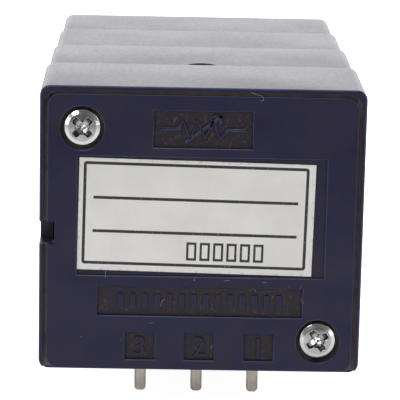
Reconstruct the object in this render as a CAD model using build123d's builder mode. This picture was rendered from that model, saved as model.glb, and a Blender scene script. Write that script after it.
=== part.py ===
from build123d import *
from math import cos, radians, sin
import os

# Four potentiometer gangs on one shaft. The origin is on the shaft axis at the mounting face of
# the front plate. The shaft points to -Y, the rear face looks along +Y and the terminals point down.
# All sizes are in millimetres.

# ---- Case
BODY_W = 27.0            # width of a housing at its rear end
BODY_H = 24.2            # height of a housing at its rear end
AXIS_BELOW_TOP = 12.4    # shaft axis below the top of the rear end
CORNER_R = 0.85          # outer corners of a housing
DRAFT = 0.2              # how much a housing grows on each side towards its open front end
GANGS = 4
GANG_PITCH = 12.0        # length of one housing
WALL = 1.0
FLOOR = 1.6              # closed rear end of a housing
INNER_R = 0.5            # corners of the inside
EDGE_R = 0.2             # softened edges of the rear end
EDGE_BREAK = 0.08        # broken edges of what is sunk into the panel

# ---- Joint between two housings: a lip on the front end enters a groove in the rear end before it
RIM = 0.33               # rim outside the groove
GROOVE_W = 0.32
GROOVE_DEEP = 0.5
LIP_GAP = 0.04           # play between the lip and each side of the groove
LIP_SHORT = 0.08         # the lip stops this far above the bottom of the groove
PANEL_PROUD = 0.12       # the panel inside the groove stands above the rim
PANEL_FOOT = 0.18        # the panel ends this far above the bottom edge
PANEL_R = 1.0

# ---- Recesses in the rear panel, seen from the rear
LABEL_RECESS_W = 20.7
LABEL_RECESS_H = 10.1
LABEL_RECESS_TOP = 5.85  # from the top of the body to the recess
LABEL_RECESS_DEEP = 0.25
LABEL_W = 19.62
LABEL_H = 9.5
LABEL_T = 0.1
LABEL_TURN = -0.94       # the label was stuck on slightly askew, in degrees
LABEL_GAP_SIDE = 0.01
LABEL_GAP_TOP = 0.13
BADGE_W = 8.2
BADGE_H = 3.1
BADGE_TOP = 1.95
STRIP_W = 17.2
STRIP_H = 2.5
STRIP_TOP = 16.9
NUMBER_W = 2.5
NUMBER_H = 2.35
NUMBER_UP = 1.0          # from the bottom of the body to the number squares
RECESS_DEEP = 0.35

# ---- Side notch and gate dimple
NOTCH_IN = 1.27
NOTCH_H = 1.93
NOTCH_LONG = 3.0
DIMPLE_W = 3.1
DIMPLE_LONG = 2.3
DIMPLE_DEEP = 0.2
DIMPLE_GANG = 3

# ---- Case screws in two opposite corners
SCREW_R = 0.9
SCREW_GAP = 0.15         # play round the screw in the housings
THREAD_GAP = 0.02
SCREW_IN_SIDE = 3.5      # screw axis from the side of the body
SCREW_IN_TOP = 3.5
SCREW_IN_BOTTOM = 2.8
HEAD_R = 1.52
HEAD_H = 1.05
HEAD_ROUND = 0.4
HEAD_GAP = 0.33          # play round the head in its counterbore
HEAD_SINK = 1.2          # depth of the counterbore
CROSS_LONG = 1.75
CROSS_W = 0.46
CROSS_DEEP = 0.6
CROSS_TAPER = 10.0
CROSS_TURNS = (45.0, 32.0)
BLOCK = 2.4              # a corner block reaches this far past the screw axis

# ---- Front plate and bushing
PLATE_T = 3.0
PLATE_INSET = 0.5        # the plate is this much smaller than the housings on each side
PLATE_R = 1.0
PLATE_WALL = 1.2         # what is left of the plate at the bottom of its pocket
POCKET_R = 9.0
BUSHING_WALL = 1.0       # from the shaft to the outside of the thread
BUSHING_LONG = 8.0
BUSHING_CHAMFER = 0.4
BUSHING_FOOT = 0.8       # the foot cast into the plate is this much larger in radius
SCREW_SKIN = 0.6         # the screw holes stop this far below the mounting face
SCREW_TIP = 0.2          # the screws stop this far short of the bottom of their holes

# ---- Shaft
SHAFT_R = 3.0
SHAFT_LONG = 20.0        # from the mounting face to the end of the shaft
SHAFT_CHAMFER = 0.5
RUNNING_GAP = 0.05       # radial play of the shaft in its bearings
DRIVE_R = 2.0            # the drive section has two flats
DRIVE_FLATS = 3.2
DRIVE_GAP = 0.02
REAR_GAP = 0.3           # shaft end to the bottom of the label recess

# ---- End stop, thrust washer and retaining ring
WASHER_T = 0.3
WASHER_R = 5.8
WASHER_GAP = 0.15
AXIAL_GAP = 0.04
STOP_T = 1.0
STOP_DISC_R = 5.9
STOP_LUG_R = 8.6
STOP_LUG_HALF = 10.0     # degrees
STOP_BLOCK_R = 6.2
STOP_TURN = 150.0        # travel to each side of the middle, in degrees
STOP_PLAY = 0.5          # degrees left between lug and block at the end of the travel
RING_T = 0.5
RING_PROUD = 0.6         # the ring stands above the shaft by this much
RING_SEAT = 0.6          # depth of its groove
RING_GAP = 0.05
RING_OPEN_HALF = 32.0    # degrees

# ---- Element board with its terminals and rivets
BOARD_FRONT = 0.6        # from the front end of a housing to the board
BOARD_T = 1.0
BOARD_GAP = 0.05
BOARD_HOLE_R = 3.0
STAKE_R = 0.6
STAKE_PROUD = 0.15
PIN_PITCH = 5.0
PIN_W = 1.0
PIN_T = 0.5
PIN_LONG = 4.7           # below the rear end of a housing
PIN_GROOVE_W = 0.24
PIN_GROOVE_DEEP = 0.12
PIN_SLOT_GAP = 0.06
PIN_TIP_R = 0.4
EYE_W = 2.4
EYE_R = 0.4
EYE_TOP = 7.2            # top of the eye below the shaft axis
EYE_FOOT = 10.2
RIVET_DOWN = 8.5         # rivet axis below the shaft axis
RIVET_R = 0.5
RIVET_HEAD_R = 0.9
RIVET_HEAD_T = 0.3

# ---- Rotor and wiper
ROTOR_FRONT = 3.0        # from the front end of a housing to the rotor
ROTOR_R = 8.2
ROTOR_T = 1.4
ROTOR_RIM_T = 0.9
ROTOR_RIM_H = 1.2
HUB_R = 3.6
HUB_GAP = 0.2            # hub to the floor of the housing
RIBS = 6
RIB_T = 0.8
WIPER_T = 0.2
WIPER_HALF = 1.2
WIPER_LOW = 2.6
WIPER_HIGH = 6.7
WIPER_PIP_R = 0.35
WIPER_PIPS = (3.7, 5.6)
WIPER_TOUCH = 0.03       # play between the finger tips and the board
FINGER_W = 0.45
FINGERS = (2.8, 3.4, 4.7, 5.25, 5.8)
FINGER_BEND = 1.6
FINGER_TIP = 3.0
FINGER_CURL = 0.4
FINGER_LIFT = 0.25

# ---- Worked out from the sizes above
TOP = AXIS_BELOW_TOP
BOTTOM = AXIS_BELOW_TOP - BODY_H
MIDDLE = (TOP + BOTTOM) / 2
REAR = PLATE_T + GANGS * GANG_PITCH
INSIDE_W = BODY_W - 2 * WALL
INSIDE_H = BODY_H - 2 * WALL
PANEL_IN = RIM + GROOVE_W
SCREW_SPOTS = [
    (SCREW_IN_SIDE - BODY_W / 2, TOP - SCREW_IN_TOP),
    (BODY_W / 2 - SCREW_IN_SIDE, BOTTOM + SCREW_IN_BOTTOM),
]
STAKE_SPOTS = [
    (BODY_W / 2 - SCREW_IN_SIDE, TOP - SCREW_IN_TOP),
    (SCREW_IN_SIDE - BODY_W / 2, BOTTOM + SCREW_IN_BOTTOM),
]
PIN_SPOTS = [-PIN_PITCH, 0.0, PIN_PITCH]
LABEL_RECESS_MIDDLE = TOP - LABEL_RECESS_TOP - LABEL_RECESS_H / 2
STOP_BLOCK_HALF = 180.0 - STOP_TURN - STOP_LUG_HALF - STOP_PLAY
PIN_TOP = -RIVET_DOWN
PIN_END = BOTTOM - PIN_LONG
BUSHING_R = SHAFT_R + BUSHING_WALL
BUSHING_FOOT_R = BUSHING_R + BUSHING_FOOT
RING_R = SHAFT_R + RING_PROUD
RING_GROOVE_R = SHAFT_R - RING_SEAT
SHOULDER = PLATE_WALL + WASHER_T + AXIAL_GAP
SHAFT_END = REAR - LABEL_RECESS_DEEP - REAR_GAP


def section(depth):
    """The plane at a depth behind the mounting face, seen from the rear with +Z up."""
    return Plane(origin=(0, depth, 0), x_dir=(-1, 0, 0), z_dir=(0, 1, 0))


def outline(grow, radius):
    """The outline of the body, grown by a margin on every side."""
    with BuildSketch(mode=Mode.PRIVATE) as shape:
        with Locations((0, MIDDLE)):
            RectangleRounded(BODY_W + 2 * grow, BODY_H + 2 * grow, radius)
    return shape.sketch


def inside(gap):
    """The outline of a housing's inside, less a gap on every side."""
    with BuildSketch(mode=Mode.PRIVATE) as shape:
        with Locations((0, MIDDLE)):
            RectangleRounded(INSIDE_W - 2 * gap, INSIDE_H - 2 * gap, INNER_R)
    return shape.sketch


def three_sided(inset):
    """The body's outline set in at the sides and the top, and running out past the bottom edge."""
    radius = PANEL_R + PANEL_IN - inset
    with BuildSketch(mode=Mode.PRIVATE) as shape:
        with Locations((0, TOP - inset - BODY_H / 2)):
            RectangleRounded(BODY_W - 2 * inset, BODY_H, radius)
        with Locations((0, BOTTOM)):
            Rectangle(BODY_W - 2 * inset, BODY_H / 2)
    return shape.sketch


def panel(grow):
    """The raised panel of a rear end, grown by a margin on every side."""
    height = BODY_H - PANEL_IN - PANEL_FOOT
    with BuildSketch(mode=Mode.PRIVATE) as shape:
        with Locations((0, BOTTOM + PANEL_FOOT + height / 2)):
            RectangleRounded(BODY_W - 2 * PANEL_IN + 2 * grow, height + 2 * grow, PANEL_R + grow)
    return shape.sketch


def label_recess(grow):
    """The field that takes the label."""
    with BuildSketch(mode=Mode.PRIVATE) as shape:
        with Locations((0, LABEL_RECESS_MIDDLE)):
            Rectangle(LABEL_RECESS_W + 2 * grow, LABEL_RECESS_H + 2 * grow)
    return shape.sketch


def sunk_fields(grow):
    """The fields of the badge, the strip and the three terminal numbers."""
    with BuildSketch(mode=Mode.PRIVATE) as shape:
        with Locations((0, TOP - BADGE_TOP - BADGE_H / 2)):
            Rectangle(BADGE_W + 2 * grow, BADGE_H + 2 * grow)
        with Locations((0, TOP - STRIP_TOP - STRIP_H / 2)):
            Rectangle(STRIP_W + 2 * grow, STRIP_H + 2 * grow)
        with Locations(*[(u, BOTTOM + NUMBER_UP + NUMBER_H / 2) for u in PIN_SPOTS]):
            Rectangle(NUMBER_W + 2 * grow, NUMBER_H + 2 * grow)
    return shape.sketch


def counterbores(grow):
    """The holes that the screw heads sit in."""
    with BuildSketch(mode=Mode.PRIVATE) as shape:
        with Locations(*SCREW_SPOTS):
            Circle(HEAD_R + HEAD_GAP + grow)
    return shape.sketch


def corner_blocks():
    """Blocks that fill the four inside corners and reach a little into the walls."""
    with BuildSketch(mode=Mode.PRIVATE) as shape:
        for u, v in SCREW_SPOTS + STAKE_SPOTS:
            side = 1 if u > 0 else -1
            up = 1 if v > 0 else -1
            wall_u = side * (INSIDE_W / 2 + WALL / 4)
            wall_v = MIDDLE + up * (INSIDE_H / 2 + WALL / 4)
            near_u = u - side * BLOCK
            near_v = v - up * BLOCK
            with Locations(((wall_u + near_u) / 2, (wall_v + near_v) / 2)):
                Rectangle(abs(wall_u - near_u), abs(wall_v - near_v))
    return shape.sketch


def sector(inner, outer, middle, half):
    """A piece of a ring, from middle - half to middle + half degrees."""
    with BuildSketch(mode=Mode.PRIVATE) as shape:
        with BuildLine():
            far = CenterArc((0, 0), outer, middle - half, 2 * half)
            near = CenterArc((0, 0), inner, middle - half, 2 * half)
            Line(far @ 0, near @ 0)
            Line(far @ 1, near @ 1)
        make_face()
    return shape.sketch


def drive(gap):
    """The shaft's drive section with its two flats, grown by a gap."""
    with BuildSketch(mode=Mode.PRIVATE) as shape:
        Circle(DRIVE_R + gap)
        Rectangle(2 * (DRIVE_R + gap), DRIVE_FLATS + 2 * gap, mode=Mode.INTERSECT)
    return shape.sketch


def save(part, name):
    """Labels a finished piece and writes it under its name."""
    part.label = name
    export_step(part, f"parts/{name}.step")


os.makedirs("parts", exist_ok=True)

# ---- Front plate: a die-cast plate with a round pocket for the end stop
with BuildPart() as front_plate:
    with BuildSketch(section(0)):
        add(outline(-PLATE_INSET, PLATE_R))
    extrude(amount=PLATE_T - GROOVE_DEEP)
    with BuildSketch(section(PLATE_T - GROOVE_DEEP)):
        add(outline(-PANEL_IN, PLATE_R))
    extrude(amount=GROOVE_DEEP)
    chamfer(front_plate.edges().group_by(Axis.Y)[0], 0.3)
    with BuildSketch(section(0)):
        Circle(BUSHING_FOOT_R)
    extrude(amount=PLATE_WALL, mode=Mode.SUBTRACT)
    with BuildSketch(section(PLATE_WALL)):
        Circle(POCKET_R)
    extrude(amount=PLATE_T - PLATE_WALL, mode=Mode.SUBTRACT)
    with BuildSketch(section(PLATE_WALL)):
        add(sector(STOP_BLOCK_R, POCKET_R + WALL / 4, -90, STOP_BLOCK_HALF))
    extrude(amount=WASHER_T + AXIAL_GAP + STOP_T)
    with BuildSketch(section(SCREW_SKIN)):
        with Locations(*SCREW_SPOTS):
            Circle(SCREW_R + THREAD_GAP)
    extrude(amount=PLATE_T - SCREW_SKIN, mode=Mode.SUBTRACT)
save(front_plate.part, "front_plate")

# ---- Bushing: a turned sleeve whose foot is cast into the plate; its fine thread is left plain
with BuildPart() as bushing:
    with BuildSketch(section(-BUSHING_LONG)):
        Circle(BUSHING_R)
    extrude(amount=BUSHING_LONG)
    chamfer(bushing.edges().group_by(Axis.Y)[0], BUSHING_CHAMFER)
    with BuildSketch(section(0)):
        Circle(BUSHING_FOOT_R)
    extrude(amount=PLATE_WALL)
    with BuildSketch(section(-BUSHING_LONG)):
        Circle(SHAFT_R + RUNNING_GAP)
    extrude(amount=BUSHING_LONG + PLATE_WALL, mode=Mode.SUBTRACT)
save(bushing.part, "bushing")

# ---- Shaft: a round front end with a ring groove, then a drive section through all the gangs
with BuildPart() as shaft:
    with BuildSketch(section(-SHAFT_LONG)):
        Circle(SHAFT_R)
    extrude(amount=SHAFT_LONG + SHOULDER)
    chamfer(shaft.edges().group_by(Axis.Y)[0], SHAFT_CHAMFER)
    with BuildSketch(section(-BUSHING_LONG - RING_T - 3 * RING_GAP)):
        Circle(SHAFT_R + RUNNING_GAP)
        Circle(RING_GROOVE_R, mode=Mode.SUBTRACT)
    extrude(amount=RING_T + 2 * RING_GAP, mode=Mode.SUBTRACT)
    with BuildSketch(section(SHOULDER)):
        add(drive(0))
    extrude(amount=SHAFT_END - SHOULDER)
save(shaft.part, "shaft")

# ---- Retaining ring: an open ring snapped into the shaft's groove in front of the bushing
with BuildPart() as retaining_ring:
    with BuildSketch(section(-BUSHING_LONG - RING_T - 2 * RING_GAP)):
        Circle(RING_R)
        Circle(RING_GROOVE_R, mode=Mode.SUBTRACT)
        add(sector(RING_GROOVE_R / 2, RING_R + 1, -90, RING_OPEN_HALF), mode=Mode.SUBTRACT)
    extrude(amount=RING_T)
save(retaining_ring.part, "retaining_ring")

# ---- Thrust washer between the plate and the stop disc
with BuildPart() as thrust_washer:
    with BuildSketch(section(PLATE_WALL)):
        Circle(WASHER_R)
        Circle(SHAFT_R + WASHER_GAP, mode=Mode.SUBTRACT)
    extrude(amount=WASHER_T)
save(thrust_washer.part, "thrust_washer")

# ---- Stop disc: its lug meets the plate's block at both ends of the travel
with BuildPart() as stop_disc:
    with BuildSketch(section(SHOULDER)):
        Circle(STOP_DISC_R)
        add(sector(STOP_DISC_R / 2, STOP_LUG_R, 90, STOP_LUG_HALF))
        add(drive(DRIVE_GAP), mode=Mode.SUBTRACT)
    extrude(amount=STOP_T)
save(stop_disc.part, "stop_disc")

# ---- One gang after another, from the front plate to the rear
for gang in range(1, GANGS + 1):
    front = PLATE_T + (gang - 1) * GANG_PITCH
    rear = front + GANG_PITCH
    floor = rear - FLOOR
    board_front = front + BOARD_FRONT
    board_rear = board_front + BOARD_T

    # Housing: a moulded cup, closed at the rear and open to the front
    with BuildPart() as housing:
        with BuildSketch(section(front)):
            add(outline(DRAFT, CORNER_R))
        with BuildSketch(section(rear)):
            add(outline(0, CORNER_R))
        loft(ruled=True)
        fillet(housing.edges().group_by(Axis.Y)[-1], EDGE_R)
        with BuildSketch(section(front)):
            add(inside(0))
        extrude(amount=GANG_PITCH - FLOOR, mode=Mode.SUBTRACT)
        with BuildSketch(section(board_rear)):
            add(corner_blocks())
        extrude(amount=floor - board_rear)
        with BuildSketch(section(board_front - STAKE_PROUD)):
            with Locations(*STAKE_SPOTS):
                Circle(STAKE_R)
        extrude(amount=BOARD_T + STAKE_PROUD)
        # lip that enters the groove of the piece before
        with BuildSketch(section(front - GROOVE_DEEP + LIP_SHORT)):
            add(three_sided(RIM + LIP_GAP))
            add(three_sided(PANEL_IN - LIP_GAP), mode=Mode.SUBTRACT)
            with Locations((0, TOP)):
                Rectangle(BODY_W, 2 * (BODY_H - PANEL_R), mode=Mode.INTERSECT)
        extrude(amount=GROOVE_DEEP - LIP_SHORT)
        # rebate that clears the raised panel of the piece before
        with BuildSketch(section(front)):
            add(panel(LIP_GAP))
        extrude(amount=PANEL_PROUD + LIP_SHORT, mode=Mode.SUBTRACT)
        # slots for the terminals in the bottom wall
        with BuildSketch(section(front)):
            with Locations(*[(u, BOTTOM) for u in PIN_SPOTS]):
                Rectangle(PIN_W + 2 * PIN_SLOT_GAP, 3 * WALL)
        extrude(amount=BOARD_FRONT + BOARD_T + PIN_T + PIN_SLOT_GAP, mode=Mode.SUBTRACT)
        # panel and groove of the rear end
        with BuildSketch(section(rear)):
            add(three_sided(RIM))
            add(panel(0), mode=Mode.SUBTRACT)
        extrude(amount=-GROOVE_DEEP, mode=Mode.SUBTRACT)
        with BuildSketch(section(rear)):
            add(panel(0))
        extrude(amount=PANEL_PROUD)
        fillet(housing.edges().group_by(Axis.Y)[-1], PANEL_PROUD * 0.8)
        face = rear + PANEL_PROUD
        with BuildSketch(section(face)):
            add(label_recess(0))
        extrude(amount=-LABEL_RECESS_DEEP, mode=Mode.SUBTRACT)
        with BuildSketch(section(face)):
            add(sunk_fields(0))
        extrude(amount=-RECESS_DEEP, mode=Mode.SUBTRACT)
        # screw holes with counterbores
        with BuildSketch(section(face)):
            add(counterbores(0))
        extrude(amount=-HEAD_SINK, mode=Mode.SUBTRACT)
        # broken edges round everything that is sunk into the panel
        for sunk in (label_recess, sunk_fields, counterbores):
            with BuildSketch(section(face)):
                add(sunk(EDGE_BREAK))
            extrude(amount=-EDGE_BREAK, taper=45, mode=Mode.SUBTRACT)
        with BuildSketch(section(front)):
            with Locations(*SCREW_SPOTS):
                Circle(SCREW_R + SCREW_GAP)
        extrude(amount=GANG_PITCH, mode=Mode.SUBTRACT)
        # bearing hole for the drive section
        with BuildSketch(section(floor)):
            Circle(DRIVE_R + RUNNING_GAP)
        extrude(amount=FLOOR + PANEL_PROUD, mode=Mode.SUBTRACT)
        # side notch
        with BuildSketch(section(face)):
            with Locations((-BODY_W / 2, 0)):
                Rectangle(2 * NOTCH_IN, NOTCH_H)
        extrude(amount=-NOTCH_LONG, mode=Mode.SUBTRACT)
        if gang == DIMPLE_GANG:
            with BuildSketch(Plane.XY.offset(TOP - DIMPLE_DEEP)):
                with Locations((0, rear)):
                    Ellipse(DIMPLE_W / 2, DIMPLE_LONG)
            extrude(amount=DIMPLE_DEEP + DRAFT, mode=Mode.SUBTRACT)
    save(housing.part, f"gang_housing_{gang}")

    # Element board: a laminate plate that carries the resistive track on its rear side
    with BuildPart() as board:
        with BuildSketch(section(board_front)):
            add(inside(BOARD_GAP))
            Circle(BOARD_HOLE_R, mode=Mode.SUBTRACT)
            with Locations(*SCREW_SPOTS):
                Circle(SCREW_R + SCREW_GAP, mode=Mode.SUBTRACT)
            with Locations(*STAKE_SPOTS):
                Circle(STAKE_R + BOARD_GAP, mode=Mode.SUBTRACT)
            with Locations(*[(u, -RIVET_DOWN) for u in PIN_SPOTS]):
                Circle(RIVET_R, mode=Mode.SUBTRACT)
        extrude(amount=BOARD_T)
    save(board.part, f"element_board_{gang}")

    # Terminals: flat strips with an eye at the top, numbered 1 to 3 from -X to +X
    for number, u in enumerate(reversed(PIN_SPOTS), start=1):
        with BuildPart() as terminal:
            with BuildSketch(section(board_rear)):
                with Locations((u, (PIN_TOP + PIN_END) / 2)):
                    Rectangle(PIN_W, PIN_TOP - PIN_END)
                fillet(vertices().group_by(Axis.Y)[0], PIN_TIP_R)
                with Locations((u, -(EYE_TOP + EYE_FOOT) / 2)):
                    RectangleRounded(EYE_W, EYE_FOOT - EYE_TOP, EYE_R)
                with Locations((u, -RIVET_DOWN)):
                    Circle(RIVET_R, mode=Mode.SUBTRACT)
            extrude(amount=PIN_T)
            with BuildSketch(section(board_rear + PIN_T)):
                with Locations((u, (PIN_END + BOTTOM) / 2)):
                    Rectangle(PIN_GROOVE_W, BOTTOM - PIN_END)
            extrude(amount=-PIN_GROOVE_DEEP, mode=Mode.SUBTRACT)
        save(terminal.part, f"terminal_{gang}_{number}")

    # Rivets: three hollow-set rivets join the terminals to the board
    with BuildPart() as rivets:
        with BuildSketch(section(board_front)):
            with Locations(*[(u, -RIVET_DOWN) for u in PIN_SPOTS]):
                Circle(RIVET_R)
        extrude(amount=BOARD_T + PIN_T)
        with BuildSketch(section(board_front - RIVET_HEAD_T), section(board_rear + PIN_T)):
            with Locations(*[(u, -RIVET_DOWN) for u in PIN_SPOTS]):
                Circle(RIVET_HEAD_R)
        extrude(amount=RIVET_HEAD_T)
    save(rivets.part, f"terminal_rivets_{gang}")

    # Rotor: a moulded disc with a hub that is keyed to the shaft's two flats
    rotor_front = front + ROTOR_FRONT
    rotor_rear = rotor_front + ROTOR_T
    hub_rear = floor - HUB_GAP
    with BuildPart() as rotor:
        with BuildSketch(section(rotor_front)):
            Circle(ROTOR_R)
        extrude(amount=ROTOR_T)
        with BuildSketch(section(rotor_rear)):
            Circle(ROTOR_R)
            Circle(ROTOR_R - ROTOR_RIM_T, mode=Mode.SUBTRACT)
            with PolarLocations((HUB_R + ROTOR_R - ROTOR_RIM_T / 2) / 2, RIBS):
                Rectangle(ROTOR_R - ROTOR_RIM_T / 2 - HUB_R + RIB_T, RIB_T)
        extrude(amount=ROTOR_RIM_H)
        with BuildSketch(section(rotor_rear)):
            Circle(HUB_R)
        extrude(amount=hub_rear - rotor_rear)
        with BuildSketch(section(rotor_front)):
            with Locations(*[(0, v) for v in WIPER_PIPS]):
                Circle(WIPER_PIP_R)
        extrude(amount=-WIPER_T)
        with BuildSketch(section(rotor_front)):
            add(drive(DRIVE_GAP))
        extrude(amount=hub_rear - rotor_front, mode=Mode.SUBTRACT)
    save(rotor.part, f"rotor_{gang}")

    # Wiper: a spring-metal plate on the rotor, with fingers that reach forward to the board
    touch = board_rear + WIPER_TOUCH
    leaf = rotor_front - WIPER_T
    with BuildPart() as wiper:
        with BuildSketch(section(leaf)):
            with Locations((0, (WIPER_LOW + WIPER_HIGH) / 2)):
                Rectangle(2 * WIPER_HALF, WIPER_HIGH - WIPER_LOW)
            with Locations(*[(0, v) for v in WIPER_PIPS]):
                Circle(WIPER_PIP_R, mode=Mode.SUBTRACT)
        extrude(amount=WIPER_T)
        with BuildSketch(*[Plane.XY.offset(v) for v in FINGERS]):
            with BuildLine():
                Polyline(
                    (WIPER_HALF - WIPER_T, leaf),
                    (FINGER_BEND, leaf),
                    (FINGER_TIP, touch),
                    (FINGER_TIP + FINGER_CURL, touch + FINGER_LIFT),
                    (FINGER_TIP + FINGER_CURL, touch + FINGER_LIFT + WIPER_T),
                    (FINGER_TIP, touch + WIPER_T),
                    (FINGER_BEND, leaf + WIPER_T),
                    (WIPER_HALF - WIPER_T, leaf + WIPER_T),
                    close=True,
                )
            make_face()
        extrude(amount=FINGER_W)
    save(wiper.part, f"wiper_{gang}")

# ---- Case screws: long pan-head screws through all the housings into the front plate
head_seat = REAR + PANEL_PROUD - HEAD_SINK
for number, (u, v) in enumerate(SCREW_SPOTS, start=1):
    with BuildPart() as case_screw:
        with BuildSketch(section(head_seat)):
            with Locations((u, v)):
                Circle(HEAD_R)
        extrude(amount=HEAD_H)
        fillet(case_screw.edges().group_by(Axis.Y)[-1], HEAD_ROUND)
        with BuildSketch(section(SCREW_SKIN + SCREW_TIP)):
            with Locations((u, v)):
                Circle(SCREW_R)
        extrude(amount=head_seat - SCREW_SKIN - SCREW_TIP)
        with BuildSketch(section(head_seat + HEAD_H)):
            with Locations(Location((u, v), CROSS_TURNS[number - 1])):
                Rectangle(CROSS_LONG, CROSS_W)
                Rectangle(CROSS_W, CROSS_LONG)
        extrude(amount=-CROSS_DEEP, taper=CROSS_TAPER, mode=Mode.SUBTRACT)
    save(case_screw.part, f"case_screw_{number}")

# ---- Label: paper stuck in the recess of the last housing, against its upper corner
turn = radians(abs(LABEL_TURN))
turned_w = LABEL_W * cos(turn) + LABEL_H * sin(turn)
turned_h = LABEL_H * cos(turn) + LABEL_W * sin(turn)
label_u = -LABEL_RECESS_W / 2 + LABEL_GAP_SIDE + turned_w / 2
label_v = TOP - LABEL_RECESS_TOP - LABEL_GAP_TOP - turned_h / 2
with BuildPart() as label:
    with BuildSketch(section(REAR + PANEL_PROUD - LABEL_RECESS_DEEP)):
        with Locations(Location((label_u, label_v), LABEL_TURN)):
            Rectangle(LABEL_W, LABEL_H)
    extrude(amount=LABEL_T)
save(label.part, "label")
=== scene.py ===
# %% [markdown]
# # A four-gang potentiometer, seen from behind
#
# The object is a rotary control with four identical gangs stacked on one shaft. Every gang is a
# moulded navy cup with three terminals below, and two long screws hold the stack to a die-cast
# front plate. This lesson loads the engineered parts, gives each its real finish, and adds what is
# too fine to engineer: the bushing's thread, raised marks, printing, lint and dust.
#
# The first step loads the frame. Its parts already stand in the right place, in metres, so nothing
# has to be fitted: many later positions are read from a part's own box.

# %% Load the frame
import math
import random

import bmesh
import bpy
from mathutils import Matrix, Vector


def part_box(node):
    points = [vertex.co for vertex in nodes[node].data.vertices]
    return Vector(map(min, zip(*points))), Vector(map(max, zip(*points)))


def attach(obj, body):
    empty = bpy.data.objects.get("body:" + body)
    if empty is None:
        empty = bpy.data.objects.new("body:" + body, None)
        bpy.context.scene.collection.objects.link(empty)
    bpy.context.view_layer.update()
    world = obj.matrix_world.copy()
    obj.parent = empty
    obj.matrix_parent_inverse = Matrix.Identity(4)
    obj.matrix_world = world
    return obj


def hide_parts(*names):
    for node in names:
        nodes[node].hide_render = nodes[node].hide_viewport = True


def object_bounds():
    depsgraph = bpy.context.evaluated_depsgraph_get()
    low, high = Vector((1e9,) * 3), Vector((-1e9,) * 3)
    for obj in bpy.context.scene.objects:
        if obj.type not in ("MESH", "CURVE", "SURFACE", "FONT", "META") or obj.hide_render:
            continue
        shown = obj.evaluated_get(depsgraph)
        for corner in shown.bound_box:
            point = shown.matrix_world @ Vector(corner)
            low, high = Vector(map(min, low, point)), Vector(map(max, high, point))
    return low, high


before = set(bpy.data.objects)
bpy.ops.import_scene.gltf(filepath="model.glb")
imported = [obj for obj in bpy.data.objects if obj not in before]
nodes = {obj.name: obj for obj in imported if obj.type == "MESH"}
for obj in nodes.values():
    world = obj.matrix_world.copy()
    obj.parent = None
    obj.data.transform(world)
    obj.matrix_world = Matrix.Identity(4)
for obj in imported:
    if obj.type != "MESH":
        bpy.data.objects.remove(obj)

cad_low, cad_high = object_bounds()
print("parts:", len(nodes), "box in mm:", [round(v * 1000, 2) for v in (*cad_low, *cad_high)])

# %% Places that the later steps need
MM = 0.001
LAST_GANG = max(name for name in nodes if name.startswith("gang_housing_"))
FACE = Vector(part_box(LAST_GANG)[1]).y   # the rear panel's face
FLOOR = cad_low[2]                      # the terminals stand on this
TOP = 12.4 * MM                         # top of the rear end above the shaft axis
BOTTOM = TOP - 24.2 * MM
GANG_FRONT = 3.0 * MM                   # where the first gang starts
GANG_LONG = 12.0 * MM
PIN_PITCH = 5.0 * MM
REAR_MIDDLE = Vector((0, FACE, (TOP + BOTTOM) / 2))
label_low, label_high = (Vector(corner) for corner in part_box("label"))
print("rear face at", round(FACE / MM, 2), "mm, floor at", round(FLOOR / MM, 2), "mm")

# %% [markdown]
# # Helpers for materials
#
# Every finish below is a small node tree on a Principled shader. A few helpers keep the trees
# short: they start a material, add a node with its settings, and build the masks that many
# finishes share. Patterns read Object coordinates, because a part's object sits at the origin and
# the coordinates are then real metres: a noise scale of 1000 has cells about a millimetre wide.


# %% Start a material, add a node, join sockets
def finish(name):
    """A new material with its tree and its Principled shader."""
    print("finish:", name)
    material = bpy.data.materials.new(name)
    material.use_nodes = True
    return material, material.node_tree, material.node_tree.nodes["Principled BSDF"]


def node(tree, kind, inputs=None, **settings):
    """Adds a node, with settings on the node and values or links on its inputs."""
    made = tree.nodes.new(kind)
    for key, value in settings.items():
        setattr(made, key, value)
    for key, value in (inputs or {}).items():
        socket = made.inputs[key]
        if isinstance(value, bpy.types.NodeSocket):
            tree.links.new(value, socket)
        else:
            socket.default_value = value
    return made


def maths(tree, operation, *values):
    """One Math node on one, two or three values or sockets."""
    made = node(tree, "ShaderNodeMath", operation=operation)
    for i, value in enumerate(values):
        if isinstance(value, bpy.types.NodeSocket):
            tree.links.new(value, made.inputs[i])
        else:
            made.inputs[i].default_value = value
    return made.outputs[0]


def distance(tree, a, b):
    """The length of the flat vector (a, b)."""
    squares = maths(tree, "MULTIPLY", a, a), maths(tree, "MULTIPLY", b, b)
    return maths(tree, "SQRT", maths(tree, "ADD", *squares))


# %% Coordinates, noise and colour
def place(tree):
    """The Object coordinates, as a vector and as X, Y and Z."""
    vector = node(tree, "ShaderNodeTexCoord").outputs["Object"]
    axes = node(tree, "ShaderNodeSeparateXYZ", {"Vector": vector})
    return vector, axes.outputs["X"], axes.outputs["Y"], axes.outputs["Z"]


def noise(tree, vector, size, detail=2.0, roughness=0.5, distortion=0.0):
    """Noise from 0 to 1 with features about `size` metres wide."""
    made = node(tree, "ShaderNodeTexNoise", {"Vector": vector, "Scale": 1.0 / size, "Detail": detail,
                                             "Roughness": roughness, "Distortion": distortion})
    return made.outputs["Fac"]


def ramp(tree, value, low, high, start=0.0, end=1.0):
    """Maps low..high of a value to start..end, with smooth ends."""
    made = node(tree, "ShaderNodeMapRange", {"Value": value, "From Min": low, "From Max": high,
                                             "To Min": start, "To Max": end},
                interpolation_type="SMOOTHSTEP")
    return made.outputs["Result"]


def stretch(tree, vector, x, y, z):
    """Scales coordinates along each axis: a smaller number draws a pattern out."""
    return node(tree, "ShaderNodeMapping", {"Vector": vector, "Scale": (x, y, z)}).outputs[0]


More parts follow.
